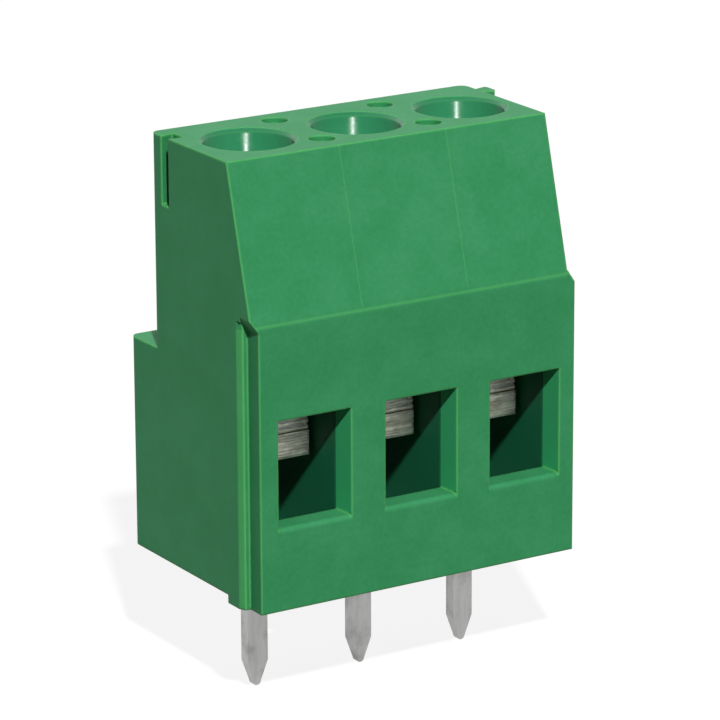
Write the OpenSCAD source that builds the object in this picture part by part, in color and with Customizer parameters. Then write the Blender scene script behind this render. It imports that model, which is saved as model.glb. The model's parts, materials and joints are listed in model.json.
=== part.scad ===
// Three-pole terminal block for a printed circuit board.
// A one-piece moulded housing holds a rising-clamp unit in each pole: a
// captive screw that only turns, a clamp that rides up and down on its thread,
// and a bent contact strip whose end is the solder pin.
// Origin: the middle pin's axis at board level. +X runs along the poles to the
// right, +Y to the back, +Z up. Millimetres. The clamps are drawn fully raised.

/* [Poles] */
// Distance from one pole to the next
pitch = 5.08; // [5:0.01:5.6]

/* [Housing] */
// Height from the board to the flat top
housing_h = 18.5; // [18:0.1:21]
// Height of the front plate that holds the wire windows
plate_h = 11.94; // [10.5:0.02:13.5]
// Height of the step at the back
ledge_h = 9.44; // [8.6:0.02:11]
// Screw axis to the front edge of the flat top
top_front = 2.8; // [2.4:0.05:3.4]
// Screw axis to the back of the upper body
upper_back = 3.17; // [2.8:0.01:4]
// Screw axis to the back of the lower body
lower_back = 5.29; // [4.9:0.01:6]
// Wall between the first clamp chamber and the left side
wall_left = 0.84; // [0.78:0.01:1.6]
// Wall between the last clamp chamber and the right side
wall_right = 0.49; // [0.42:0.01:1.4]
// How far the foot lifts the rest of the underside off the board
foot_h = 0.35; // [0.2:0.01:0.8]
// Depth of the foot under the front
foot_d = 2.05; // [1.4:0.05:2.2]
// Radius of the upright corners at the back
corner_r = 0.38; // [0.1:0.01:0.7]
// How far the top of the back stands proud of the wall below it
crown_t = 0.11; // [0.04:0.01:0.3]
// How far the foot of the sloping face is set back above the front plate
brow_setback = 0.05; // [0.02:0.01:0.4]
// Height of the bevel between the front plate and the sloping face
brow_h = 0.26; // [0.1:0.01:0.6]

/* [Side joint] */
// Thickness of the front plate where it passes the side walls
plate_t = 0.87; // [0.5:0.01:0.95]
// Setback of the front plate at the left side
rebate_w = 0.36; // [0.2:0.01:0.6]
// Gap between the front plates of two blocks side by side
plate_gap = 0.06; // [0.02:0.01:0.2]
// Height over which the ends of the front plate taper off
plate_taper = 0.52; // [0.2:0.01:1.2]
// Bevel of the side wall's edge beside the setback
rebate_bevel = 0.14; // [0.05:0.01:0.3]
// Length of the dovetail slot, down from the top
slot_len = 2.87; // [2:0.01:4]
// Depth of the dovetail slot
slot_d = 0.64; // [0.4:0.01:0.7]
// Width of the dovetail slot at its mouth
slot_mouth = 0.58; // [0.4:0.01:0.7]
// Width of the dovetail slot at its floor
slot_root = 0.92; // [0.72:0.01:1.1]
// Screw axis to the middle of the slot
slot_back = 2.11; // [1.9:0.01:2.3]
// Play of the dovetail tongue in its slot, on each side
tongue_play = 0.04; // [0.02:0.01:0.1]
// Rounding of the tongue's upright edges
tongue_round = 0.16; // [0.05:0.01:0.22]

/* [Wire windows] */
// Width of each window
window_w = 3.46; // [3:0.02:3.6]
// Sideways offset of each window from its screw axis
window_shift = 0.24; // [0:0.01:0.3]
// Clear height above the contact bar at the window
window_over = 0.45; // [0.1:0.01:1.2]
// Rounding of the sill's front edge
sill_round = 0.2; // [0.05:0.01:0.35]
// Thickness of the lip around each window
lip_t = 1.05; // [0.95:0.01:1.4]
// Depth of the entry chamber behind the lip
entry_d = 1.21; // [0.9:0.01:1.8]
// Room in front of the clamp
front_room = 0.5; // [0.3:0.01:0.9]
// How much each side of a window closes in through the lip
window_draft = 0.1; // [0.03:0.01:0.2]
// Height of the entry chamber above the window, and its depth below the sill
entry_relief = 0.5; // [0.2:0.01:1.2]

/* [Screws] */
// Diameter of the screw head
head_d = 3.5; // [3.1:0.02:3.6]
// Height of the screw head
head_h = 1.8; // [1.4:0.02:2.2]
// Play around the screw head, on each side
head_play = 0.1; // [0.05:0.01:0.2]
// Outside diameter of the thread
thread_d = 2.5; // [2.2:0.02:2.6]
// Width of the driver slot
slot_w = 0.6; // [0.4:0.02:0.9]
// Depth of the driver slot
slot_deep = 0.9; // [0.5:0.02:1.1]
// Chamfer at the mouth of each driver hole
mouth_chamfer = 0.15; // [0.05:0.01:0.4]
// How far the retaining bead stands into the driver hole
bead_t = 0.2; // [0.13:0.01:0.3]
// Diameter of the dimples between the driver holes
dimple_d = 1.1; // [0.7:0.02:1.4]
// Depth of the dimples
dimple_deep = 0.3; // [0.1:0.02:0.6]
// Screw axis to the back row of dimples
dimple_back = 2.2; // [1.8:0.02:2.3]
// Screw axis to the front row of dimples
dimple_front = 1.5; // [1.3:0.02:1.8]

/* [Clamps] */
// How far the clamp reaches in front of the screw axis
clamp_front = 1.8; // [1.7:0.01:2]
// How far the clamp reaches behind the screw axis
clamp_back = 1.75; // [1.5:0.01:1.9]
// Thickness of the clamp's side bars
clamp_side = 0.34; // [0.25:0.01:0.4]
// Thickness of the clamp's floor
clamp_floor = 1.05; // [0.7:0.01:1.3]
// Height of the tapped block at the clamp's top
clamp_block = 2.4; // [1.8:0.02:2.8]
// How far the clamp travels
clamp_travel = 3; // [2.4:0.01:3.4]
// Side play of the clamp in its chamber
clamp_play = 0.2; // [0.1:0.01:0.3]
// Pitch of the grip grooves across the clamp's floor
groove_pitch = 0.8; // [0.6:0.02:0.9]
// Depth of the grip grooves
groove_deep = 0.12; // [0.05:0.01:0.25]

/* [Contacts] */
// Thickness of the contact strip
strip_t = 0.55; // [0.4:0.01:0.62]
// How far the bar's front end reaches past its neck on each side
bar_ear = 0.24; // [0.12:0.01:0.35]
// Depth of the bar's front end
bar_ear_d = 0.35; // [0.2:0.01:0.5]
// Radius of the bar's pressed fold
fold_r = 0.16; // [0.08:0.01:0.24]
// Height of the strip's base above the board
base_z = 1; // [0.6:0.02:1.4]
// Width of each solder pin
pin_w = 0.95; // [0.7:0.01:1.1]
// Length of each solder pin below the board face
pin_len = 4.87; // [3.2:0.01:6]
// Length of the pin's taper
pin_taper = 1.1; // [0.6:0.02:1.6]
// Radius of the pin's tip
pin_tip_r = 0.17; // [0.1:0.01:0.22]

/* [Hidden] */

poles = 3;
$fn = 48;
eps = 0.05;             // overshoot of a cut past the face it leaves
run_gap = 0.05;         // gap between moving faces at the ends of the travel
thread_play = 0.03;     // radial play of the thread in the clamp's tapped hole
web_t = 1.6;            // plastic under each screw head
floor_room = 0.85;      // room left under the lowered clamp
shank_play = 0.06;      // play between the screw's shank and the clamp's side bars
bar_play = 0.11;        // play between the bar's neck and the clamp's side bars
ear_play = 0.12;        // play between the bar's front end and the clamp's side bars
back_room = 0.35;       // room between the clamp and the contact's upright
roof_room = 0.15;       // room above the raised clamp
sill_gap = 0.05;        // sill above the floor of the lowered clamp
leg_play = 0.05;        // side play of the contact's upright in its chamber
foot_pad = [0.9, 1.4];  // rear feet, width and depth
core_wall = 0.8;        // wall around the cored pockets at the back

// Heights, from the board up
base_top = base_z + strip_t;
clamp_low = base_top + floor_room;
clamp_z = clamp_low + clamp_travel;
bar_h = 2 * strip_t;
bar_z = clamp_z + clamp_floor + run_gap;
bar_top = bar_z + bar_h;
block_z = clamp_z + clamp_floor + bar_h + clamp_travel + 2 * run_gap;
clamp_top = block_z + clamp_block;
roof_z = clamp_top + roof_room;
seat_z = roof_z + web_t;
head_top = seat_z + run_gap + head_h;
bead_z = head_top + 2 * run_gap;
bead_h = 2 * bead_t;
window_z0 = clamp_low + clamp_floor + sill_gap;
window_z1 = bar_top + window_over;
slot_z = housing_h - slot_len;

// Depths, from the screw axis
chamber_y0 = -(clamp_front + front_room);
entry_y0 = chamber_y0 - entry_d;
front_y = entry_y0 - lip_t;
strip_y1 = clamp_back + back_room + strip_t;
upper_chamber_y1 = clamp_back + clamp_play;

// Widths
clamp_inner = thread_d + 2 * shank_play;
clamp_w = clamp_inner + 2 * clamp_side;
bar_w = clamp_inner - 2 * bar_play;
ear_w = bar_w + 2 * bar_ear;
chamber_w = clamp_w + 2 * clamp_play;
first_x = -pitch * (poles - 1) / 2;
last_x = -first_x;
left_x = first_x - chamber_w / 2 - wall_left;
right_x = last_x + chamber_w / 2 + wall_right;
plate_left = left_x + rebate_w;
plate_right = plate_left + poles * pitch - plate_gap;
bore_r = head_d / 2 + head_play;

function pole_x(i) = first_x + i * pitch;

// A box given by its two opposite corners
module box(low, high) {
    translate(low) cube(high - low);
}

// The corner left over when an upright edge at [x, y] is rounded.
// sx and sy point from the edge into the solid.
module corner_waste(x, y, sx, sy, r, z0, z1) {
    translate([x, y, z0]) scale_to(sx, sy)
        difference() {
            translate([-eps, -eps, 0]) cube([r + eps, r + eps, z1 - z0]);
            translate([r, r, -eps]) cylinder(r = r, h = z1 - z0 + 2 * eps);
        }
}

// Mirrors its children so that their first quadrant faces [sx, sy]
module scale_to(sx, sy) {
    mirror([sx < 0 ? 1 : 0, 0, 0]) mirror([0, sy < 0 ? 1 : 0, 0]) children();
}

// Plan of the dovetail, from the wall face outwards along +X
module dovetail(mouth, root, depth) {
    polygon([[-eps, -mouth / 2], [0, -mouth / 2], [depth, -root / 2],
             [depth, root / 2], [0, mouth / 2], [-eps, mouth / 2]]);
}

// Plan of the tongue: a dovetail smaller than its slot, with its outer edges rounded
module tongue_plan() {
    root = slot_root - 2 * tongue_play;
    depth = slot_d - tongue_play;
    intersection() {
        dovetail(slot_mouth - 2 * tongue_play, root, depth);
        translate([-2 * tongue_round, 0]) offset(r = tongue_round)
            translate([0, tongue_round - root / 2])
                square([depth + tongue_round, root - 2 * tongue_round]);
    }
}

// Side view of the housing, Y to the right and Z up
module side_profile() {
    polygon([[front_y, 0], [front_y + foot_d, 0], [front_y + foot_d, foot_h],
             [lower_back, foot_h], [lower_back, ledge_h], [upper_back, ledge_h],
             [upper_back, slot_z], [upper_back + crown_t, slot_z + crown_t],
             [upper_back + crown_t, housing_h], [-top_front, housing_h],
             [front_y + brow_setback, plate_h + brow_h], [front_y, plate_h]]);
}

// A profile in Y and Z, drawn out from x0 to x1
module along_x(x0, x1) {
    translate([x0, 0, 0]) rotate([90, 0, 90]) linear_extrude(x1 - x0) children();
}

// A profile in X and Z, drawn out from y0 to y1
module along_y(y0, y1) {
    translate([0, y1, 0]) rotate([90, 0, 0]) linear_extrude(y1 - y0) children();
}

// Front plate where it runs past the right side wall, tapered at its top
module plate_overhang() {
    along_y(front_y, front_y + plate_t)
        polygon([[right_x - eps, 0], [plate_right, 0], [plate_right, plate_h - plate_taper / 2],
                 [right_x, plate_h + plate_taper / 2], [right_x - eps, plate_h + plate_taper / 2]]);
}

// Setback of the front plate at the left, tapered to match a neighbour's overhang
module plate_rebate() {
    along_y(front_y - eps, front_y + plate_t)
        polygon([[left_x - eps, -eps], [plate_left, -eps], [plate_left, plate_h - plate_taper / 4],
                 [left_x, plate_h + plate_taper * 3 / 4], [left_x - eps, plate_h + plate_taper * 3 / 4]]);
    translate([left_x, front_y + plate_t, -eps]) linear_extrude(plate_h + plate_taper / 2)
        polygon([[-eps, -eps], [rebate_bevel, -eps], [rebate_bevel, 0],
                 [0, 2 * rebate_bevel], [-eps, 2 * rebate_bevel]]);
}

// Everything taken out of the housing for one pole
module pole_cavity(x) {
    // Window through the lip, drafted at both sides
    translate([x + window_shift, 0, window_z0]) linear_extrude(window_z1 - window_z0)
        polygon([[-window_w / 2, front_y - eps], [window_w / 2, front_y - eps],
                 [window_w / 2 - window_draft, entry_y0 + eps],
                 [window_draft - window_w / 2, entry_y0 + eps]]);
    // Rounded front edge of the sill
    along_x(x + window_shift - window_w / 2, x + window_shift + window_w / 2)
        difference() {
            translate([front_y - eps, window_z0 - sill_round])
                square([sill_round + eps, sill_round + eps]);
            translate([front_y + sill_round, window_z0 - sill_round]) circle(r = sill_round);
        }
    // Entry chamber behind the lip
    box([x - chamber_w / 2, entry_y0, window_z0 - entry_relief],
        [x + chamber_w / 2, chamber_y0 + eps, window_z1 + entry_relief]);
    // Chamber of the raised clamp
    box([x - chamber_w / 2, chamber_y0, bar_top],
        [x + chamber_w / 2, upper_chamber_y1, roof_z]);
    // Open-bottomed chamber of the lowered clamp and the contact strip
    box([x - chamber_w / 2, chamber_y0, -eps],
        [x + chamber_w / 2, strip_y1, bar_top + run_gap]);
    // Driver hole, retaining bead, head seat and the hole through the web
    translate([x, 0, 0]) rotate_extrude()
        polygon([[0, roof_z - eps], [(thread_d + clamp_play) / 2, roof_z - eps],
                 [(thread_d + clamp_play) / 2, seat_z], [bore_r, seat_z], [bore_r, bead_z],
                 [bore_r - bead_t, bead_z + bead_h / 2], [bore_r, bead_z + bead_h],
                 [bore_r, housing_h - mouth_chamfer], [bore_r + mouth_chamfer, housing_h],
                 [bore_r + mouth_chamfer, housing_h + eps], [0, housing_h + eps]]);
    // Cored pocket in the thick back
    box([x - chamber_w / 2, strip_y1 + core_wall, -eps],
        [x + chamber_w / 2, lower_back - core_wall, ledge_h - core_wall]);
}

module housing() {
    color([0.13, 0.45, 0.22]) {
        difference() {
            union() {
                along_x(left_x, right_x) side_profile();
                plate_overhang();
                // Rear feet under the walls between the poles
                for (i = [0 : poles - 2])
                    translate([pole_x(i) + (pitch - foot_pad[0]) / 2, strip_y1, 0])
                        cube([foot_pad[0], foot_pad[1], foot_h + eps]);
                // Dovetail tongue at the back of the right side
                translate([right_x, slot_back, slot_z + tongue_play])
                    linear_extrude(slot_len - tongue_play) tongue_plan();
            }
            plate_rebate();
            for (i = [0 : poles - 1]) pole_cavity(pole_x(i));
            // Dovetail slot at the back of the left side
            translate([left_x, slot_back, slot_z]) linear_extrude(slot_len + eps)
                dovetail(slot_mouth, slot_root, slot_d);
            // Dimples between the driver holes
            for (i = [0 : poles - 2], y = [dimple_back, -dimple_front])
                translate([pole_x(i) + pitch / 2, y, housing_h - dimple_deep])
                    cylinder(d = dimple_d, h = dimple_deep + eps);
            // Rounded upright corners at the back
            corner_waste(left_x, upper_back + crown_t, 1, -1, corner_r, ledge_h, housing_h + eps);
            corner_waste(right_x, upper_back + crown_t, -1, -1, corner_r, ledge_h, housing_h + eps);
            corner_waste(left_x, lower_back, 1, -1, corner_r, -eps, ledge_h + eps);
            corner_waste(right_x, lower_back, -1, -1, corner_r, -eps, ledge_h + eps);
        }
    }
}

// Captive screw: chamfered tip on the contact bar, slotted head on its seat
module screw(i) {
    tip_z = bar_top + run_gap;
    tip_c = thread_d / 6;
    head_c = head_h / 10;
    head_z = seat_z + run_gap;
    color([0.75, 0.76, 0.78]) translate([pole_x(i), 0, 0])
        difference() {
            rotate_extrude()
                polygon([[0, tip_z], [thread_d / 2 - tip_c, tip_z], [thread_d / 2, tip_z + tip_c],
                         [thread_d / 2, head_z], [head_d / 2, head_z],
                         [head_d / 2, head_top - head_c], [head_d / 2 - head_c, head_top],
                         [0, head_top]]);
            translate([-head_d / 2 - eps, -slot_w / 2, head_top - slot_deep])
                cube([head_d + 2 * eps, slot_w, slot_deep + eps]);
        }
}

// Rising clamp: a closed frame with a tapped block above and a grooved floor below
module clamp(i) {
    floor_z = clamp_z + clamp_floor;
    bar_y0 = bar_ear_d + ear_play - clamp_front;
    grooves = floor((clamp_front + clamp_back) / groove_pitch);
    groove_y0 = (clamp_back - clamp_front - (grooves - 1) * groove_pitch) / 2;
    color([0.72, 0.70, 0.66]) translate([pole_x(i), 0, 0])
        difference() {
            box([-clamp_w / 2, -clamp_front, clamp_z], [clamp_w / 2, clamp_back, clamp_top]);
            box([-clamp_inner / 2, -clamp_front - eps, floor_z],
                [clamp_inner / 2, clamp_back + eps, block_z]);
            // The side bars are set back behind the bar's front end
            box([-clamp_w / 2 - eps, -clamp_front - eps, floor_z], [clamp_w / 2 + eps, bar_y0, block_z]);
            translate([0, 0, block_z - eps])
                cylinder(r = thread_d / 2 + thread_play, h = clamp_block + 2 * eps);
            for (k = [0 : grooves - 1])
                along_x(-clamp_inner / 2, clamp_inner / 2)
                    translate([groove_y0 + k * groove_pitch, floor_z])
                        polygon([[0, -groove_deep], [groove_deep, eps], [-groove_deep, eps]]);
        }
}

// Side view of the contact strip: doubled bar, upright, base and pin
module strip_profile() {
    bend_r = strip_t;
    // Doubled bar with its pressed fold
    translate([fold_r - clamp_front, bar_z]) square([clamp_front + clamp_back - fold_r, bar_h]);
    translate([-clamp_front, bar_z + fold_r]) square([2 * fold_r, bar_h - 2 * fold_r]);
    for (z = [bar_z + fold_r, bar_top - fold_r])
        translate([fold_r - clamp_front, z]) circle(r = fold_r);
    // Lower layer on to the upright
    translate([clamp_back - eps, bar_z]) square([back_room + eps, strip_t]);
    translate([strip_y1 - bend_r, bar_z]) intersection() {
        circle(r = bend_r);
        square(bend_r);
    }
    // Upright
    translate([strip_y1 - strip_t, base_top]) square([strip_t, bar_z - base_top]);
    translate([strip_y1 - bend_r, base_top]) intersection() {
        circle(r = bend_r);
        translate([0, -bend_r]) square(bend_r);
    }
    // Base
    translate([0, base_z]) square([strip_y1 - bend_r, strip_t]);
}

// Contact strip of one pole. The bar is narrow where it passes through the clamp,
// and its wider front end stands before the clamp's side bars.
module contact(i) {
    leg_w = chamber_w - 2 * leg_play;
    color([0.74, 0.74, 0.74]) translate([pole_x(i), 0, 0]) {
        intersection() {
            along_x(-leg_w / 2, leg_w / 2) strip_profile();
            union() {
                box([-bar_w / 2, bar_ear_d - clamp_front - eps, bar_z - eps],
                    [bar_w / 2, clamp_back + back_room / 2, bar_top + eps]);
                bar_front();
                box([-leg_w / 2, clamp_back + back_room / 2, base_z - eps],
                    [leg_w / 2, strip_y1 + eps, bar_top + eps]);
                box([-leg_w / 2, -eps, base_z - eps], [leg_w / 2, strip_y1, bar_z - strip_t]);
            }
        }
        solder_pin();
    }
}

// Room of the bar's front end, with rounded upright edges
module bar_front() {
    translate([0, -clamp_front, bar_z - eps]) linear_extrude(bar_h + 2 * eps) {
        translate([fold_r - ear_w / 2, 0]) square([ear_w - 2 * fold_r, bar_ear_d]);
        translate([-ear_w / 2, fold_r]) square([ear_w, bar_ear_d - fold_r]);
        for (x = [fold_r - ear_w / 2, ear_w / 2 - fold_r])
            translate([x, fold_r]) circle(r = fold_r);
    }
}

// Flat pin with a rounded tip, bent down from the base
module solder_pin() {
    tip_z = -pin_len + pin_tip_r;
    intersection() {
        along_y(-strip_t / 2, strip_t / 2) {
            polygon([[-pin_w / 2, base_top], [-pin_w / 2, -pin_len + pin_taper],
                     [-pin_tip_r, tip_z], [pin_tip_r, tip_z],
                     [pin_w / 2, -pin_len + pin_taper], [pin_w / 2, base_top]]);
            translate([0, tip_z]) circle(r = pin_tip_r);
        }
        along_x(-pin_w / 2 - eps, pin_w / 2 + eps) {
            polygon([[-strip_t / 2, base_top], [-strip_t / 2, -pin_len + pin_taper],
                     [-pin_tip_r, -pin_len], [pin_tip_r, -pin_len],
                     [strip_t / 2, -pin_len + pin_taper], [strip_t / 2, base_top]]);
        }
    }
}

housing();
screw(0);  // screw_1
screw(1);  // screw_2
screw(2);  // screw_3
clamp(0);  // clamp_1
clamp(1);  // clamp_2
clamp(2);  // clamp_3
contact(0);  // contact_1
contact(1);  // contact_2
contact(2);  // contact_3
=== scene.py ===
"""Looks of a three-pole screw terminal block for a circuit board.

The moulded housing, the captive screws, the rising clamps and the bent
contact strips are dressed round the fixed model. All sizes are in metres, in
the fixed model's own frame: +X along the poles, +Y to the back, +Z up.
"""

import json
import logging
import math
from dataclasses import dataclass, field
from enum import Enum
from typing import Any, Callable, Sequence

import bmesh
import bpy
from mathutils import Matrix, Vector

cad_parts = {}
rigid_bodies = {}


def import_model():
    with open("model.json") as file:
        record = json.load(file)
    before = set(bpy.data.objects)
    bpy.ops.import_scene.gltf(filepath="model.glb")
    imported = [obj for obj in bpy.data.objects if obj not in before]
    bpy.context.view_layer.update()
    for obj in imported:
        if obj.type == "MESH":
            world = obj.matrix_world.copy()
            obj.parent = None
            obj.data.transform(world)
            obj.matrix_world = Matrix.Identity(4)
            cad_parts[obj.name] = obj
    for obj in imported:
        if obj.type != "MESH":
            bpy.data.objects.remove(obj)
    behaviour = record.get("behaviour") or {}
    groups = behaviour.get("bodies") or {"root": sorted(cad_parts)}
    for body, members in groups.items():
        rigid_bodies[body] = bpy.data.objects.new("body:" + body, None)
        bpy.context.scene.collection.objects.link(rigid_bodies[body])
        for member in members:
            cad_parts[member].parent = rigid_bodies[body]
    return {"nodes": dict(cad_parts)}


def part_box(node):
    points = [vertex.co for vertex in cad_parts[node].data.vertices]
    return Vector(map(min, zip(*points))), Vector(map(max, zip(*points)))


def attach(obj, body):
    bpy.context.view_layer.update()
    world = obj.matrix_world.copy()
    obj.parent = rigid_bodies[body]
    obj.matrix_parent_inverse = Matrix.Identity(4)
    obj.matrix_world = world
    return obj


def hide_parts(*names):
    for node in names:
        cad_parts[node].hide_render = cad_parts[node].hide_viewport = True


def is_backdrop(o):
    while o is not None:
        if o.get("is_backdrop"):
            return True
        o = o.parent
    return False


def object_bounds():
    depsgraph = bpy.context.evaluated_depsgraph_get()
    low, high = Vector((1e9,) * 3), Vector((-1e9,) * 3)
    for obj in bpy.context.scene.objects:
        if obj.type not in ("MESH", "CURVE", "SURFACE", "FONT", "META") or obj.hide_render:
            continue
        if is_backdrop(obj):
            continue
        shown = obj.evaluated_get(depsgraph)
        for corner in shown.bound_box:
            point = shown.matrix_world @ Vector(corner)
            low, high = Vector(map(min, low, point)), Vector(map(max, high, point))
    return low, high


LOG = logging.getLogger("terminal_block")

MM = 0.001
PITCH = 5.08 * MM
POLES: tuple[float, ...] = (-PITCH, 0.0, PITCH)

Colour = tuple[float, float, float, float]
WHITE: Colour = (1.0, 1.0, 1.0, 1.0)


class Channel(Enum):
    """Axes that a shader position can be split into."""

    X = "X"
    Y = "Y"
    Z = "Z"


class Part(Enum):
    """Kinds of pieces in each pole."""

    HOUSING = "housing"
    SCREW = "screw"
    CLAMP = "clamp"
    CONTACT = "contact"


# --------------------------------------------------------------------------
# Shader expressions
# --------------------------------------------------------------------------


class Value:
    """A number in a shader, written with the usual operators."""

    def __init__(self, tree: "ShaderTree", socket: bpy.types.NodeSocket | None) -> None:
        """Wraps one output socket.

        Args:
            tree: The shader that the socket belongs to.
            socket: The output socket that gives the number, or None on a
                node that ends the tree.
        """
        self.tree = tree
        self.socket = socket

    def _math(self, operation: str, *values: Any) -> "Value":
        """Adds one Math node.

        Args:
            operation: The node's operation.
            *values: Numbers or Values, in socket order.

        Returns:
            The node's result.
        """
        return self.tree.add(
            "ShaderNodeMath", {"operation": operation}, {i: v for i, v in enumerate(values)}
        )

    def __add__(self, other: Any) -> "Value":
        """Sum."""
        return self._math("ADD", self, other)

    __radd__ = __add__

    def __sub__(self, other: Any) -> "Value":
        """Difference."""
        return self._math("SUBTRACT", self, other)

    def __rsub__(self, other: Any) -> "Value":
        """Difference with this value second."""
        return self._math("SUBTRACT", other, self)

    def __mul__(self, other: Any) -> "Value":
        """Product."""
        return self._math("MULTIPLY", self, other)

    __rmul__ = __mul__

    def __abs__(self) -> "Value":
        """Absolute value."""
        return self._math("ABSOLUTE", self)

    def below(self, limit: Any) -> "Value":
        """1 where this value lies under the limit, else 0."""
        return self._math("LESS_THAN", self, limit)

    def above(self, limit: Any) -> "Value":
        """1 where this value lies over the limit, else 0."""
        return self._math("GREATER_THAN", self, limit)

    def smallest(self, other: Any) -> "Value":
        """The smaller of two values."""
        return self._math("MINIMUM", self, other)

    def root(self) -> "Value":
        """Square root."""
        return self._math("SQRT", self)

    def ramp(self, low: float, high: float) -> "Value":
        """Rises smoothly from 0 at low to 1 at high.

        Args:
            low: Value that gives 0.
            high: Value that gives 1.

        Returns:
            The eased share, kept between 0 and 1.
        """
        return self.tree.add(
            "ShaderNodeMapRange",
            {"interpolation_type": "SMOOTHSTEP"},
            {"Value": self, "From Min": low, "From Max": high},
        )


class ShaderTree:
    """A material's node tree, built from Python expressions."""

    def __init__(self, name: str) -> None:
        """Starts an empty material.

        Args:
            name: The material's name.
        """
        self.material = bpy.data.materials.new(name)
        self.material.use_nodes = True
        self.tree = self.material.node_tree
        self.tree.nodes.clear()
        self._place: bpy.types.NodeSocket | None = None

    def add(
        self,
        kind: str,
        settings: dict[str, Any] | None = None,
        inputs: dict[Any, Any] | None = None,
        output: Any = 0,
    ) -> Value:
        """Adds any node.

        Args:
            kind: The node's type.
            settings: Properties that are set before its sockets.
            inputs: Values or links by socket name or number.
            output: Name or number of the socket to return.

        Returns:
            The chosen output.
        """
        node = self.tree.nodes.new(kind)
        for key, value in (settings or {}).items():
            setattr(node, key, value)
        for key, value in (inputs or {}).items():
            socket = node.inputs[key]
            if isinstance(value, Value):
                self.tree.links.new(value.socket, socket)
            elif isinstance(value, bpy.types.NodeSocket):
                self.tree.links.new(value, socket)
            else:
                socket.default_value = value
        return Value(self, node.outputs[output]) if node.outputs else Value(self, None)

    @property
    def place(self) -> bpy.types.NodeSocket:
        """The point's own position on the object, in metres."""
        if self._place is None:
            self._place = self.add("ShaderNodeTexCoord", output="Object").socket
        return self._place

    def axis(self, channel: Channel) -> Value:
        """One coordinate of the point, in millimetres.

        Args:
            channel: Which axis.

        Returns:
            The coordinate.
        """
        split = self.add("ShaderNodeSeparateXYZ", None, {0: self.place}, channel.value)
        return split * (1 / MM)

    def stretched(self, scale: tuple[float, float, float]) -> bpy.types.NodeSocket:
        """The point's position with each axis scaled.

        Args:
            scale: Factor along each axis.

        Returns:
            The scaled position.
        """
        return self.add(
            "ShaderNodeMapping", None, {"Vector": self.place, "Scale": scale}
        ).socket

    def noise(
        self,
        per_mm: float,
        detail: float = 2.0,
        rough: float = 0.5,
        where: bpy.types.NodeSocket | None = None,
    ) -> Value:
        """Soft random blotches.

        Args:
            per_mm: Blotches in a millimetre.
            detail: Octaves of finer blotches.
            rough: Weight of the finer blotches.
            where: Position to read, or the point's own.

        Returns:
            The noise, about 0.5 on average.
        """
        return self.add(
            "ShaderNodeTexNoise",
            None,
            {
                "Vector": where or self.place,
                "Scale": per_mm / MM,
                "Detail": detail,
                "Roughness": rough,
            },
            "Fac",
        )

    def specks(self, per_mm: float, share: float) -> Value:
        """Sparse round specks.

        Args:
            per_mm: Cells in a millimetre.
            share: Size of a speck in its cell, 0 to 1.

        Returns:
            1 in the middle of a speck and 0 outside.
        """
        cell = self.add(
            "ShaderNodeTexVoronoi",
            {"feature": "F1"},
            {"Vector": self.place, "Scale": per_mm / MM},
            "Distance",
        )
        return 1 - cell.ramp(share * 0.4, share)

    def mix(self, share: Any, low: Any, high: Any) -> Value:
        """Mixes two colours.

        Args:
            share: 0 gives low and 1 gives high.
            low: First colour.
            high: Second colour.

        Returns:
            The mixed colour.
        """
        node = self.tree.nodes.new("ShaderNodeMix")
        node.data_type = "RGBA"
        for index, value in ((0, share), (6, low), (7, high)):
            if isinstance(value, Value):
                self.tree.links.new(value.socket, node.inputs[index])
            else:
                node.inputs[index].default_value = value
        return Value(self, node.outputs[2])

    def bump(
        self, height: Value, strength: float, distance: float, over: Value | None = None
    ) -> Value:
        """Turns a height into a tilted normal.

        Args:
            height: The relief, 0 to 1.
            strength: Share of the effect.
            distance: Depth of the relief in metres.
            over: A normal to add this relief to.

        Returns:
            The normal.
        """
        inputs: dict[str, Any] = {"Height": height, "Strength": strength, "Distance": distance}
        if over is not None:
            inputs["Normal"] = over
        return self.add("ShaderNodeBump", None, inputs)

    def rounded(self, radius: float, samples: int = 6) -> Value:
        """The normal with every sharp edge eased over.

        Args:
            radius: Radius of the rounding in metres.
            samples: Rays that look for edges.

        Returns:
            The eased normal.
        """
        return self.add("ShaderNodeBevel", {"samples": samples}, {"Radius": radius})

    def facing(self, normal: Value) -> Value:
        """How squarely a normal agrees with the face's own, 1 when it is the same.

        Args:
            normal: The normal to compare.

        Returns:
            The cosine of the angle between the two.
        """
        own = self.add("ShaderNodeNewGeometry", None, None, "Normal")
        return self.add(
            "ShaderNodeVectorMath", {"operation": "DOT_PRODUCT"}, {0: normal, 1: own}, "Value"
        )

    def leaned(self, normal: Value, rise: Value) -> Value:
        """Leans a normal upwards, as fine rings on a wall do.

        Args:
            normal: The normal to lean.
            rise: Upward length that is added to it.

        Returns:
            The new normal, one unit long.
        """
        lift = self.add("ShaderNodeCombineXYZ", None, {"Z": rise})
        added = self.add("ShaderNodeVectorMath", {"operation": "ADD"}, {0: normal, 1: lift})
        return self.add("ShaderNodeVectorMath", {"operation": "NORMALIZE"}, {0: added})

    def surface(self, **sockets: Any) -> bpy.types.Material:
        """Ends the material in one Principled surface.

        Args:
            **sockets: Socket values or links, with _ for each space.

        Returns:
            The finished material.
        """
        inputs = {key.replace("_", " "): value for key, value in sockets.items()}
        shader = self.add("ShaderNodeBsdfPrincipled", None, inputs)
        self.add("ShaderNodeOutputMaterial", None, {"Surface": shader})
        return self.material


# --------------------------------------------------------------------------
# Finishes
# --------------------------------------------------------------------------


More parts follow.
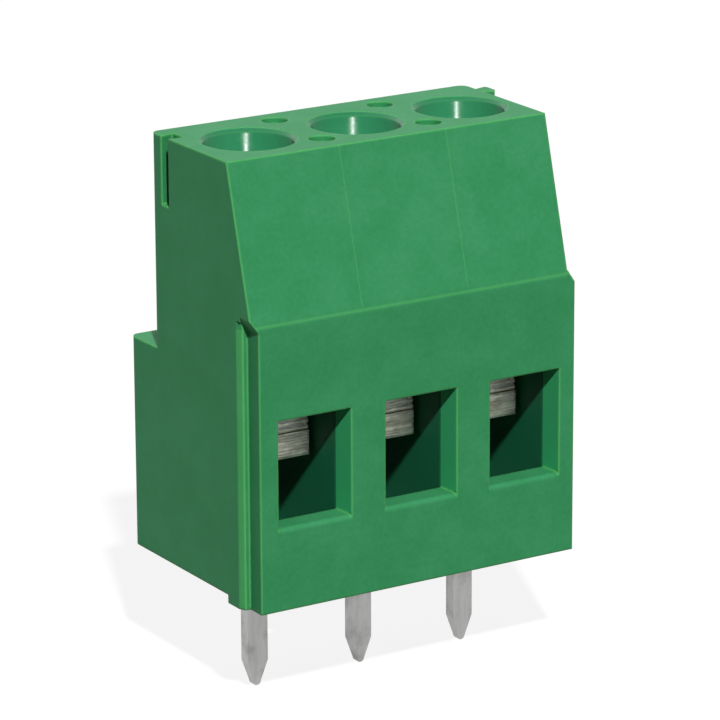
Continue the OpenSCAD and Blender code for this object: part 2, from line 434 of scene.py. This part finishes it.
@dataclass(frozen=True)
class MouldedGreen:
    """Matt green polyamide with faint flow clouds, dark grains and eased edges.

    Lengths are in millimetres, apart from the radius of the edges. Each share
    says how far one colour is mixed into the colour under it. The edges, the
    brow, the joint's edge and the window walls carry painted highlights, and the
    chambers, the setback and the screw bores carry painted shade.
    """

    base: Colour = (0.034, 0.264, 0.094, 1.0)
    cloud: Colour = (0.052, 0.310, 0.124, 1.0)
    grain: Colour = (0.006, 0.105, 0.032, 1.0)
    # Painted light colours: the lighter green below is a painted highlight on edges, brow and joint
    # edge, and also the colour of the faint seam lines; the next green is painted light on the
    # window walls; the two darker greens are painted shade in the screw bores, the chambers and the
    # setback.
    highlight_and_seam_tint: Colour = (0.130, 0.560, 0.150, 1.0)
    lip_light_tint: Colour = (0.040, 0.420, 0.160, 1.0)
    bore_shade_tint: Colour = (0.010, 0.170, 0.080, 1.0)
    shade_green: Colour = (0.008, 0.120, 0.055, 1.0)

    cloud_share: float = 0.55
    grain_share: float = 0.5
    seam_share: float = 0.2
    # The shares below mix in painted highlights (edges, brow and joint lines), painted shade
    # (setback, chambers, bores) and painted light on the window walls.
    edge_highlight_share: float = 0.75
    highlight_line_share: float = 0.3
    setback_shade_share: float = 0.2
    hollow_shade_share: float = 0.9
    lip_light_share: float = 0.9
    bore_shade_share: float = 0.55

    cloud_per_mm: float = 0.45
    mottle_per_mm: float = 5.0
    grain_per_mm: float = 3.2
    grains: float = 0.08
    roughness: float = 0.46
    mottle_roughness: float = 0.1
    bore_roughness: float = 0.14
    specular: float = 0.1
    edge: float = 0.15 * MM

    bore_radius: float = 1.97
    bore_floor: float = 16.9
    bore_tilt: float = 0.59
    seam_x: float = 2.54
    seam_half: float = 0.05
    slope_foot: float = 12.2
    slope_back: float = -2.7
    brow_height: float = 12.05
    brow_half: float = 0.11
    brow_depth: float = -4.4
    joint_x: float = -7.6
    joint_y: float = -3.71
    joint_w: float = 0.32
    joint_top: float = 11.8
    setback_x: float = -7.4
    face_depth: float = -4.5
    lip_depth: float = -3.5
    lip_half: float = 2.05
    sill_top: float = 3.55
    window_top: float = 8.0
    hollow_top: float = 14.0
    hollow_half: float = 1.9
    hollow_back: float = 3.0

    def material(self) -> bpy.types.Material:
        """Builds the housing's material."""
        tree = ShaderTree("moulded_green")
        x, y, z = (tree.axis(c) for c in (Channel.X, Channel.Y, Channel.Z))
        clouds = tree.noise(self.cloud_per_mm, 3.0, 0.6).ramp(0.35, 0.68)
        mottle = tree.noise(self.mottle_per_mm, 3.0, 0.65).ramp(0.3, 0.72)
        mixed = clouds * self.cloud_share + mottle * (1 - self.cloud_share)
        colour = tree.mix(mixed, self.base, self.cloud)
        specks = tree.specks(self.grain_per_mm, self.grains)
        colour = tree.mix(specks * self.grain_share, colour, self.grain)

        seam = 1 - abs(abs(x) - self.seam_x).ramp(0.0, self.seam_half)
        seam = seam * z.above(self.slope_foot) * y.below(self.slope_back)
        colour = tree.mix(seam * self.seam_share, colour, self.highlight_and_seam_tint)
        rounding = tree.rounded(self.edge)
        # Painted highlight: sharp edges, convex and concave, are lightened where the eased normal
        # turns away from the face's own.
        corners = (1 - tree.facing(rounding)).ramp(0.004, 0.1)
        colour = tree.mix(corners * self.edge_highlight_share, colour, self.highlight_and_seam_tint)
        colour = self._paint_edge_light_and_setback_shade(tree, (x, y, z), colour)

        reach, across = self._from_poles(x, y)
        bore = reach.below(self.bore_radius) * z.above(self.bore_floor)
        colour = self._paint_hollow_shade_and_lip_light(tree, across, (y, z), colour)
        # Painted shade: the screw bores' walls are darkened; the bore also gets a lower roughness
        # and a normal leaned upwards.
        colour = tree.mix(bore * self.bore_shade_share, colour, self.bore_shade_tint)
        rough = self.roughness + mottle * self.mottle_roughness
        rough = rough - bore * (self.roughness - self.bore_roughness)
        relief = tree.noise(9.0, 4.0, 0.7) * 0.6 + tree.noise(1.1, 2.0, 0.5) * 0.4 - seam * 0.5
        normal = tree.bump(relief * (1 - bore), 0.35, 0.02 * MM, rounding)
        return tree.surface(
            Base_Color=colour,
            Roughness=rough,
            Normal=tree.leaned(normal, bore * self.bore_tilt),
            Specular_IOR_Level=self.specular,
        )

    def _paint_edge_light_and_setback_shade(
        self, tree: ShaderTree, place: tuple[Value, Value, Value], colour: Value
    ) -> Value:
        """Paints highlights on the brow and the joint's edge, and paints shade into the setback.

        Args:
            tree: The housing's shader.
            place: The point along X, Y and Z.
            colour: The colour so far.

        Returns:
            The new colour.
        """
        x, y, z = place
        # Painted highlights: a lighter band along the brow and along the side joint's edge.
        brow = 1 - abs(z - self.brow_height).ramp(0.0, self.brow_half)
        brow = brow * y.below(self.brow_depth)
        bevel = x.below(self.joint_x) * y.above(self.joint_y)
        bevel = bevel * y.below(self.joint_y + self.joint_w) * z.below(self.joint_top)
        lines = brow * self.highlight_line_share + bevel * self.highlight_line_share
        colour = tree.mix(lines, colour, self.highlight_and_seam_tint)
        # Painted shade: the setback strip at the front left is darkened.
        setback = x.below(self.setback_x) * y.below(self.joint_y) * y.above(self.face_depth)
        setback = setback * z.below(self.joint_top)
        return tree.mix(setback * self.setback_shade_share, colour, self.shade_green)

    def _from_poles(self, x: Value, y: Value) -> tuple[Value, Value]:
        """Distance to the nearest screw's axis, all round and along X alone.

        Args:
            x: The point along X.
            y: The point along Y.

        Returns:
            The distance all round and the distance along X.
        """
        offsets = [x - pole / MM for pole in POLES]
        reach, across = (offsets[0] * offsets[0] + y * y).root(), abs(offsets[0])
        for dx in offsets[1:]:
            reach = reach.smallest((dx * dx + y * y).root())
            across = across.smallest(abs(dx))
        return reach, across

    def _paint_hollow_shade_and_lip_light(
        self, tree: ShaderTree, across: Value, place: tuple[Value, Value], colour: Value
    ) -> Value:
        """Paints shade on the walls of the chambers and a painted highlight on the windows' lip
        walls.

        Args:
            tree: The housing's shader.
            across: Distance along X to the nearest screw's axis.
            place: The point along Y and Z.
            colour: The colour so far.

        Returns:
            The new colour.
        """
        y, z = place
        # Painted shade: the chamber walls behind the windows are darkened.
        hollow = y.above(self.lip_depth) * z.below(self.hollow_top)
        hollow = hollow * across.below(self.hollow_half) * y.below(self.hollow_back)
        colour = tree.mix(hollow * self.hollow_shade_share, colour, self.shade_green)
        # Painted highlight: the windows' lip walls are lightened as if lit.
        lip = y.above(self.face_depth) * y.below(self.lip_depth) * across.below(self.lip_half)
        lip = lip * z.above(self.sill_top) * z.below(self.window_top)
        return tree.mix(lip * self.lip_light_share, colour, self.lip_light_tint)


@dataclass(frozen=True)
class PlatedSteel:
    """Zinc-plated steel of the screws, with turning marks and light scuffs."""

    base: Colour = (0.60, 0.61, 0.61, 1.0)
    dull: Colour = (0.33, 0.33, 0.31, 1.0)
    roughness: float = 0.3

    def material(self) -> bpy.types.Material:
        """Builds the screws' material."""
        tree = ShaderTree("plated_steel")
        blotch = tree.noise(1.4, 4.0, 0.6).ramp(0.4, 0.75)
        rings = tree.noise(1.0, 2.0, 0.5, tree.stretched((1.0, 1.0, 14.0)))
        colour = tree.mix(blotch * 0.6, self.base, self.dull)
        rough = self.roughness + blotch * 0.18
        normal = tree.bump(
            rings * 0.5 + tree.noise(12.0, 3.0) * 0.5, 0.25, 0.01 * MM, tree.rounded(0.04 * MM)
        )
        return tree.surface(Base_Color=colour, Metallic=1.0, Roughness=rough, Normal=normal)


@dataclass(frozen=True)
class StampedSteel:
    """Nickel-plated clamp metal with shear marks on its cut faces."""

    base: Colour = (0.95, 0.92, 0.83, 1.0)
    dull: Colour = (0.34, 0.31, 0.25, 1.0)
    roughness: float = 0.38

    def material(self) -> bpy.types.Material:
        """Builds the clamps' material."""
        tree = ShaderTree("stamped_steel")
        blotch = tree.noise(1.1, 4.0, 0.65).ramp(0.35, 0.7)
        layers = tree.noise(0.9, 4.0, 0.65, tree.stretched((0.9, 0.9, 5.0))).ramp(0.38, 0.62)
        colour = tree.mix(blotch * 0.3 + layers * 0.5, self.base, self.dull)
        rough = self.roughness + blotch * 0.14 + layers * 0.06
        normal = tree.bump(
            layers * 0.7 + tree.noise(10.0, 3.0) * 0.3, 0.7, 0.04 * MM, tree.rounded(0.08 * MM)
        )
        return tree.surface(Base_Color=colour, Metallic=1.0, Roughness=rough, Normal=normal)


@dataclass(frozen=True)
class TinnedCopper:
    """Satin tin plating of the contact strips, with drawn lines and dull spots."""

    base: Colour = (0.44, 0.44, 0.435, 1.0)
    dull: Colour = (0.21, 0.208, 0.20, 1.0)
    roughness: float = 0.42

    def material(self) -> bpy.types.Material:
        """Builds the contacts' material."""
        tree = ShaderTree("tinned_copper")
        blotch = tree.noise(0.9, 5.0, 0.65).ramp(0.42, 0.72)
        drawn = tree.noise(3.5, 3.0, 0.6, tree.stretched((1.0, 1.0, 0.12))).ramp(0.35, 0.7)
        colour = tree.mix(blotch * 0.45 + drawn * 0.25, self.base, self.dull)
        rough = self.roughness + blotch * 0.16
        normal = tree.bump(
            drawn * 0.5 + tree.noise(8.0, 3.0) * 0.5, 0.3, 0.015 * MM, tree.rounded(0.06 * MM)
        )
        return tree.surface(Base_Color=colour, Metallic=1.0, Roughness=rough, Normal=normal)


# --------------------------------------------------------------------------
# Mesh helpers
# --------------------------------------------------------------------------


def new_piece(name: str, mesh: bpy.types.Mesh) -> bpy.types.Object:
    """Links a mesh to the scene as an object at the origin.

    Args:
        name: The piece's name.
        mesh: Its mesh.

    Returns:
        The object.
    """
    piece = bpy.data.objects.new(name, mesh)
    bpy.context.scene.collection.objects.link(piece)
    return piece


def baked(source: bpy.types.Object, name: str) -> bpy.types.Object:
    """Turns an object with modifiers into a plain mesh and removes the source.

    Args:
        source: The object with live modifiers.
        name: Name of the plain piece.

    Returns:
        The plain piece.
    """
    graph = bpy.context.evaluated_depsgraph_get()
    mesh = bpy.data.meshes.new_from_object(source.evaluated_get(graph), depsgraph=graph)
    bpy.data.objects.remove(source)
    mesh.name = name
    return new_piece(name, mesh)


def lathe(name: str, profile: Sequence[tuple[float, float]], sides: int = 64) -> bpy.types.Object:
    """Turns a closed solid about the Z axis.

    Args:
        name: The piece's name.
        profile: Radius and height of each corner in millimetres, upwards,
            starting and ending on the axis.
        sides: Facets round the axis.

    Returns:
        The solid, at the origin.
    """
    bm = bmesh.new()
    rings: list[list[bmesh.types.BMVert]] = []
    for radius, height in profile:
        if radius < 1e-6:
            rings.append([bm.verts.new((0.0, 0.0, height * MM))])
            continue
        turn = [2 * math.pi * k / sides for k in range(sides)]
        rings.append(
            [
                bm.verts.new((radius * MM * math.cos(a), radius * MM * math.sin(a), height * MM))
                for a in turn
            ]
        )
    for low, high in zip(rings, rings[1:]):
        for k in range(sides):
            n = (k + 1) % sides
            corners = [
                low[k % len(low)],
                low[n % len(low)],
                high[n % len(high)],
                high[k % len(high)],
            ]
            bm.faces.new(list(dict.fromkeys(corners)))
    bmesh.ops.recalc_face_normals(bm, faces=bm.faces)
    mesh = bpy.data.meshes.new(name)
    bm.to_mesh(mesh)
    bm.free()
    return new_piece(name, mesh)


def slab(
    name: str, low: tuple[float, float, float], high: tuple[float, float, float]
) -> bpy.types.Object:
    """Makes a plain block between two corners, for use as a cutter.

    Args:
        name: The block's name.
        low: Lowest corner in millimetres.
        high: Highest corner in millimetres.

    Returns:
        The block.
    """
    bm = bmesh.new()
    bmesh.ops.create_cube(bm, size=1.0)
    middle = Vector([(a + b) / 2 * MM for a, b in zip(low, high)])
    size = [(b - a) * MM for a, b in zip(low, high)]
    bm.transform(Matrix.Translation(middle) @ Matrix.Diagonal((*size, 1.0)))
    mesh = bpy.data.meshes.new(name)
    bm.to_mesh(mesh)
    bm.free()
    return new_piece(name, mesh)


def join(name: str, pieces: Sequence[bpy.types.Object]) -> bpy.types.Object:
    """Joins pieces that share one body and one finish.

    Args:
        name: Name of the joined piece.
        pieces: The pieces, which are removed.

    Returns:
        The joined piece.
    """
    bm = bmesh.new()
    for piece in pieces:
        bm.from_mesh(piece.data)
    mesh = bpy.data.meshes.new(name)
    bm.to_mesh(mesh)
    bm.free()
    for piece in pieces:
        bpy.data.objects.remove(piece)
    return new_piece(name, mesh)


def dress(piece: bpy.types.Object, material: bpy.types.Material) -> None:
    """Gives a piece one material.

    Args:
        piece: The piece.
        material: Its only material.
    """
    piece.data.materials.clear()
    piece.data.materials.append(material)
    for polygon in piece.data.polygons:
        polygon.material_index = 0


def shift(piece: bpy.types.Object, offset: tuple[float, float, float]) -> bpy.types.Object:
    """Moves a piece's mesh and leaves its object at the origin.

    Args:
        piece: The piece.
        offset: The move in metres.

    Returns:
        The same piece.
    """
    piece.data.transform(Matrix.Translation(offset))
    return piece


# --------------------------------------------------------------------------
# Geometry Nodes
# --------------------------------------------------------------------------


class GeometryTree:
    """A Geometry Nodes tree with named inputs."""

    def __init__(self, name: str, inputs: dict[str, float]) -> None:
        """Starts a tree.

        Args:
            name: The tree's name.
            inputs: Name and default of each number input.
        """
        self.tree = bpy.data.node_groups.new(name, "GeometryNodeTree")
        face = self.tree.interface
        face.new_socket("Geometry", in_out="INPUT", socket_type="NodeSocketGeometry")
        self.ids: dict[str, str] = {}
        for key, value in inputs.items():
            kind = "NodeSocketInt" if isinstance(value, int) else "NodeSocketFloat"
            item = face.new_socket(key, in_out="INPUT", socket_type=kind)
            item.default_value = value
            self.ids[key] = item.identifier
        item = face.new_socket("Finish", in_out="INPUT", socket_type="NodeSocketMaterial")
        self.ids["Finish"] = item.identifier
        face.new_socket("Geometry", in_out="OUTPUT", socket_type="NodeSocketGeometry")
        self.source = self.tree.nodes.new("NodeGroupInput")

    def add(
        self,
        kind: str,
        settings: dict[str, Any] | None = None,
        inputs: dict[Any, Any] | None = None,
    ) -> bpy.types.Node:
        """Adds any node.

        Args:
            kind: The node's type.
            settings: Properties that are set first.
            inputs: Values or links by socket name or number.

        Returns:
            The node.
        """
        node = self.tree.nodes.new(kind)
        for key, value in (settings or {}).items():
            setattr(node, key, value)
        for key, value in (inputs or {}).items():
            if isinstance(value, bpy.types.NodeSocket):
                self.tree.links.new(value, node.inputs[key])
            else:
                node.inputs[key].default_value = value
        return node

    def value(self, key: str) -> bpy.types.NodeSocket:
        """A named input of the tree."""
        return self.source.outputs[key]

    def finish(self, geometry: bpy.types.NodeSocket) -> None:
        """Ends the tree in Realize Instances and Set Material.

        Args:
            geometry: The geometry to give out.
        """
        real = self.add("GeometryNodeRealizeInstances", None, {0: geometry})
        dressed = self.add(
            "GeometryNodeSetMaterial",
            None,
            {"Geometry": real.outputs[0], "Material": self.value("Finish")},
        )
        out = self.tree.nodes.new("NodeGroupOutput")
        self.tree.links.new(dressed.outputs[0], out.inputs[0])

    def run(
        self, name: str, sizes: dict[str, float], material: bpy.types.Material
    ) -> bpy.types.Object:
        """Makes a plain mesh with this tree.

        Args:
            name: Name of the new piece.
            sizes: Values of the named inputs.
            material: The piece's finish.

        Returns:
            The plain piece, at the origin.
        """
        carrier = new_piece(name + "_carrier", bpy.data.meshes.new(name + "_carrier"))
        modifier = carrier.modifiers.new("nodes", "NODES")
        modifier.node_group = self.tree
        for key, value in sizes.items():
            modifier[self.ids[key]] = value
        modifier[self.ids["Finish"]] = material
        return baked(carrier, name)


def thread_tree() -> GeometryTree:
    """Builds the tree that winds a V-shaped thread on a core.

    Returns:
        The tree, with its lowest turn at height zero.
    """
    tree = GeometryTree(
        "screw_thread", {"Core": 1.0 * MM, "Ridge": 0.2 * MM, "Length": 6.0 * MM, "Turns": 13.0}
    )
    spiral = tree.add(
        "GeometryNodeCurveSpiral",
        None,
        {
            "Resolution": 40,
            "Rotations": tree.value("Turns"),
            "Start Radius": tree.value("Core"),
            "End Radius": tree.value("Core"),
            "Height": tree.value("Length"),
        },
    )
    upright = tree.add("GeometryNodeSetCurveNormal", None, {"Curve": spiral.outputs[0]})
    if "Mode" in upright.inputs:
        upright.inputs["Mode"].default_value = "Z Up"
    else:
        upright.mode = "Z_UP"
    ridge = tree.add(
        "GeometryNodeCurvePrimitiveCircle",
        {"mode": "RADIUS"},
        {"Resolution": 4, "Radius": tree.value("Ridge")},
    )
    swept = tree.add(
        "GeometryNodeCurveToMesh",
        None,
        {"Curve": upright.outputs[0], "Profile Curve": ridge.outputs[0], "Fill Caps": True},
    )
    tree.finish(swept.outputs[0])
    return tree


def rib_tree() -> GeometryTree:
    """Builds the tree that stacks level half-round ribs up a face.

    Returns:
        The tree, with its lowest rib at height zero, along X.
    """
    tree = GeometryTree(
        "shear_ribs", {"Count": 4, "Step": 0.27 * MM, "Width": 3.0 * MM, "Radius": 0.1 * MM}
    )
    levels = tree.add("GeometryNodeMeshLine", {"mode": "OFFSET"}, {"Count": tree.value("Count")})
    rise = tree.add("ShaderNodeCombineXYZ", None, {"Z": tree.value("Step")})
    tree.tree.links.new(rise.outputs[0], levels.inputs["Offset"])
    rod = tree.add(
        "GeometryNodeMeshCylinder",
        {"fill_type": "NGON"},
        {"Vertices": 12, "Radius": tree.value("Radius"), "Depth": tree.value("Width")},
    )
    level = tree.add("GeometryNodeTransform", None, {"Geometry": rod.outputs[0]})
    level.inputs["Rotation"].default_value = (0.0, math.pi / 2, 0.0)
    placed = tree.add(
        "GeometryNodeInstanceOnPoints",
        None,
        {"Points": levels.outputs[0], "Instance": level.outputs[0]},
    )
    tree.finish(placed.outputs[0])
    return tree


# --------------------------------------------------------------------------
# Sub-assemblies
# --------------------------------------------------------------------------


@dataclass
class Housing:
    """The one-piece moulded housing."""

    finish: MouldedGreen = field(default_factory=MouldedGreen)

    def build(self, nodes: dict[str, bpy.types.Object]) -> list[bpy.types.Object]:
        """Dresses the housing, whose fixed shape stays.

        Args:
            nodes: The fixed nodes by name.

        Returns:
            The housing.
        """
        shell = nodes["housing"]
        dress(shell, self.finish.material())
        return [shell]


@dataclass
class Screws:
    """The captive screws, one in each pole."""

    finish: PlatedSteel = field(default_factory=PlatedSteel)
    head_r: float = 1.75
    head_h: float = 1.8
    rim: float = 0.2
    foot: float = 0.1
    neck_r: float = 1.06
    neck_h: float = 0.5
    tip_c: float = 0.22
    core_r: float = 1.06
    ridge: float = 0.19
    pitch: float = 0.45
    slot_half: float = 0.3
    slot_deep: float = 0.9
    slot_reach: float = 2.0
    thread_foot: float = 0.3

    def build(self, nodes: dict[str, bpy.types.Object]) -> list[bpy.types.Object]:
        """Makes each screw from its head, core and wound thread.

        Args:
            nodes: The fixed nodes by name.

        Returns:
            The screws.
        """
        material = self.finish.material()
        winding = thread_tree()
        made = []
        for number, pole in enumerate(POLES, 1):
            node = f"screw_{number}"
            low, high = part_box(node)
            made.append(self._screw(number, pole, low.z / MM, high.z / MM, winding, material))
            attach(made[-1], node)
            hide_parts(node)
        return made

    def _screw(
        self,
        number: int,
        pole: float,
        tip: float,
        top: float,
        winding: GeometryTree,
        material: bpy.types.Material,
    ) -> bpy.types.Object:
        """Makes one screw.

        Args:
            number: The pole's number.
            pole: The pole's place along X, in metres.
            tip: Height of the screw's tip in millimetres.
            top: Height of the head's top in millimetres.
            winding: The tree that winds the thread.
            material: The finish.

        Returns:
            The screw.
        """
        seat = top - self.head_h
        body = lathe(
            f"screw_body_{number}",
            [
                (0, tip),
                (self.core_r - self.tip_c, tip),
                (self.core_r, tip + self.thread_foot),
                (self.core_r, seat - self.neck_h - 0.05),
                (self.neck_r, seat - self.neck_h),
                (self.neck_r, seat),
                (self.head_r - self.foot, seat),
                (self.head_r, seat + self.foot),
                (self.head_r, top - self.rim),
                (self.head_r - 0.3 * self.rim, top - 0.4 * self.rim),
                (self.head_r - self.rim, top),
                (0, top),
            ],
        )
        cutter = slab(
            "driver_slot",
            (-self.slot_reach, -self.slot_half, top - self.slot_deep),
            (self.slot_reach, self.slot_half, top + self.head_h),
        )
        cut = body.modifiers.new("slot", "BOOLEAN")
        cut.operation = "DIFFERENCE"
        cut.solver = "EXACT"
        cut.object = cutter
        head = baked(body, f"screw_head_{number}")
        bpy.data.objects.remove(cutter)
        length = seat - self.neck_h - 0.1 - (tip + self.thread_foot)
        thread = winding.run(
            f"screw_winding_{number}",
            {
                "Core": self.core_r * MM,
                "Ridge": self.ridge * MM,
                "Length": length * MM,
                "Turns": length / self.pitch,
            },
            material,
        )
        shift(thread, (0.0, 0.0, (tip + self.thread_foot) * MM))
        screw = join(f"captive_screw_{number}", [head, thread])
        dress(screw, material)
        return shift(screw, (pole, 0.0, 0.0))


@dataclass
class Clamps:
    """The rising clamps, one in each pole."""

    finish: StampedSteel = field(default_factory=StampedSteel)
    floor_t: float = 1.05
    rib_step: float = 0.26
    rib_r: float = 0.13
    rib_proud: float = 0.04

    def build(self, nodes: dict[str, bpy.types.Object]) -> list[bpy.types.Object]:
        """Dresses each clamp and lays shear ribs on its front.

        Args:
            nodes: The fixed nodes by name.

        Returns:
            The clamps and their ribs.
        """
        material = self.finish.material()
        ribs = rib_tree()
        made = []
        for number, pole in enumerate(POLES, 1):
            node = f"clamp_{number}"
            low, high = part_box(node)
            dress(nodes[node], material)
            count = int(self.floor_t / self.rib_step)
            stack = ribs.run(
                f"clamp_ribs_{number}",
                {
                    "Count": count,
                    "Step": self.rib_step * MM,
                    "Width": high.x - low.x - 0.12 * MM,
                    "Radius": self.rib_r * MM,
                },
                material,
            )
            rise = (self.floor_t - (count - 1) * self.rib_step) / 2 * MM
            shift(stack, (pole, low.y + (self.rib_r - self.rib_proud) * MM, low.z + rise))
            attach(stack, node)
            made += [nodes[node], stack]
        return made


@dataclass
class Contacts:
    """The bent contact strips with their solder pins."""

    finish: TinnedCopper = field(default_factory=TinnedCopper)
    sheared: StampedSteel = field(default_factory=StampedSteel)
    body: str = "block"
    bar_foot: float = 6.45
    bar_h: float = 1.1
    bar_w: float = 3.18
    rib_step: float = 0.26
    rib_r: float = 0.13
    rib_proud: float = 0.04

    def build(self, nodes: dict[str, bpy.types.Object]) -> list[bpy.types.Object]:
        """Dresses each contact strip and lays shear ribs on its bar's front.

        Args:
            nodes: The fixed nodes by name.

        Returns:
            The contacts and their ribs.
        """
        material, cut_face = self.finish.material(), self.sheared.material()
        ribs = rib_tree()
        made = []
        for number, pole in enumerate(POLES, 1):
            node = f"contact_{number}"
            low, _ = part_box(node)
            dress(nodes[node], material)
            count = int(self.bar_h / self.rib_step)
            stack = ribs.run(
                f"bar_ribs_{number}",
                {
                    "Count": count,
                    "Step": self.rib_step * MM,
                    "Width": self.bar_w * MM,
                    "Radius": self.rib_r * MM,
                },
                cut_face,
            )
            rise = self.bar_foot + (self.bar_h - (count - 1) * self.rib_step) / 2
            shift(stack, (pole, low.y + (self.rib_r - self.rib_proud) * MM, rise * MM))
            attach(stack, self.body)
            made += [nodes[node], stack]
        return made


# --------------------------------------------------------------------------
# Studio
# --------------------------------------------------------------------------


@dataclass
class Studio:
    """Floor, daylight, lamps and camera."""

    floor_half: float = 3.0
    floor_colour: Colour = (0.16, 0.16, 0.16, 1.0)
    floor_grain: Colour = (0.15, 0.15, 0.15, 1.0)
    floor_glow: float = 0.87
    sky: float = 0.03
    key_power: float = 1.08
    key_azimuth: float = -23.0
    key_elevation: float = 44.5
    key_angle: float = 2.5
    back_power: float = 0.2
    back_azimuth: float = 174.0
    back_elevation: float = 45.0
    back_angle: float = 50.0
    eye: tuple[float, float, float] = (-0.09297, -0.14923, 0.06112)
    azimuth: float = -31.966
    elevation: float = 16.691
    roll: float = -0.267
    lens: float = 221.547

    def build(self, lowest: float) -> None:
        """Sets up the studio.

        Args:
            lowest: Height of the object's lowest point, where the floor lies.
        """
        self._floor(lowest)
        self._world()
        self._sun(
            "key_light", self.key_power, self.key_azimuth, self.key_elevation, self.key_angle
        )
        self._sun(
            "back_light", self.back_power, self.back_azimuth, self.back_elevation, self.back_angle
        )
        self._camera()
        bpy.context.scene.view_settings.view_transform = "Standard"

    def _seen(self, tree: ShaderTree) -> Value:
        """1 for rays that should meet the pale background, else 0."""
        seen = [
            tree.add("ShaderNodeLightPath", None, None, name)
            for name in ("Is Camera Ray", "Is Glossy Ray", "Is Transmission Ray")
        ]
        return seen[0]._math("MAXIMUM", seen[0]._math("MAXIMUM", seen[0], seen[1]), seen[2])

    def _floor(self, lowest: float) -> None:
        """Lays the pale floor under the object."""
        bm = bmesh.new()
        corners = ((-1, -1), (1, -1), (1, 1), (-1, 1))
        half = self.floor_half
        bm.faces.new([bm.verts.new((x * half, y * half, lowest)) for x, y in corners])
        mesh = bpy.data.meshes.new("floor")
        bm.to_mesh(mesh)
        bm.free()
        floor = new_piece("floor", mesh)
        tree = ShaderTree("pale_floor")
        grain = tree.noise(0.02, 3.0).ramp(0.3, 0.7)
        colour = tree.mix(grain * 0.03, self.floor_colour, self.floor_grain)
        matt = tree.add("ShaderNodeBsdfDiffuse", None, {"Color": colour})
        glow = tree.add(
            "ShaderNodeEmission",
            None,
            {"Color": WHITE, "Strength": self._seen(tree) * self.floor_glow},
        )
        both = tree.add("ShaderNodeAddShader", None, {0: matt, 1: glow})
        tree.add("ShaderNodeOutputMaterial", None, {"Surface": both})
        dress(floor, tree.material)
        floor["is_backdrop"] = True

    def _world(self) -> None:
        """Makes the even daylight, white where it is seen directly."""
        world = bpy.data.worlds.new("daylight")
        bpy.context.scene.world = world
        world.use_nodes = True
        nodes, links = world.node_tree.nodes, world.node_tree.links
        nodes.clear()
        path = nodes.new("ShaderNodeLightPath")
        seen = path.outputs["Is Camera Ray"]
        for name in ("Is Glossy Ray", "Is Transmission Ray"):
            larger = nodes.new("ShaderNodeMath")
            larger.operation = "MAXIMUM"
            links.new(seen, larger.inputs[0])
            links.new(path.outputs[name], larger.inputs[1])
            seen = larger.outputs[0]
        strength = nodes.new("ShaderNodeMapRange")
        links.new(seen, strength.inputs["Value"])
        strength.inputs["To Min"].default_value = self.sky
        strength.inputs["To Max"].default_value = 1.0
        back = nodes.new("ShaderNodeBackground")
        back.inputs["Color"].default_value = WHITE
        links.new(strength.outputs[0], back.inputs["Strength"])
        out = nodes.new("ShaderNodeOutputWorld")
        links.new(back.outputs[0], out.inputs[0])

    def _sun(self, name: str, power: float, azimuth: float, elevation: float, angle: float) -> None:
        """Adds one soft far lamp.

        Args:
            name: The lamp's name.
            power: Brightness it gives a white face square to it.
            azimuth: Side it stands on, 0 in front and positive to the right.
            elevation: Height over the horizon in degrees.
            angle: Its apparent size in degrees.
        """
        lamp = bpy.data.lights.new(name, "SUN")
        lamp.energy = power * math.pi
        lamp.angle = math.radians(angle)
        holder = bpy.data.objects.new(name, lamp)
        a, e = math.radians(azimuth), math.radians(elevation)
        away = Vector((math.sin(a) * math.cos(e), -math.cos(a) * math.cos(e), math.sin(e)))
        holder.location = away * 0.5
        holder.rotation_mode = "QUATERNION"
        holder.rotation_quaternion = away.to_track_quat("Z", "Y")
        bpy.context.scene.collection.objects.link(holder)

    def _camera(self) -> None:
        """Places the camera."""
        data = bpy.data.cameras.new("camera")
        data.sensor_width = 36.0
        data.lens = self.lens
        data.clip_start, data.clip_end = 0.005, 50.0
        camera = bpy.data.objects.new("camera", data)
        a, e, r = (math.radians(v) for v in (self.azimuth, self.elevation, self.roll))
        back = Vector((math.sin(a) * math.cos(e), -math.cos(a) * math.cos(e), math.sin(e)))
        right = Vector((math.cos(a), math.sin(a), 0.0))
        up = back.cross(right)
        turned_right = math.cos(r) * right + math.sin(r) * up
        turned_up = -math.sin(r) * right + math.cos(r) * up
        matrix = Matrix((turned_right, turned_up, back)).transposed().to_4x4()
        matrix.translation = Vector(self.eye)
        camera.matrix_world = matrix
        bpy.context.scene.collection.objects.link(camera)
        bpy.context.scene.camera = camera


def main() -> None:
    """Builds the terminal block's looks on the fixed model."""
    logging.basicConfig(level=logging.INFO, format="%(name)s: %(message)s")
    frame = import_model()
    nodes = frame["nodes"]
    fixed_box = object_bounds()
    Studio().build(fixed_box[0].z)
    builders: list[Callable[[dict[str, bpy.types.Object]], list[bpy.types.Object]]] = [
        Housing().build,
        Screws().build,
        Clamps().build,
        Contacts().build,
    ]
    for build in builders:
        for piece in build(nodes):
            LOG.info("%s: %d faces", piece.name, len(piece.data.polygons))


if __name__ == "__main__":
    main()
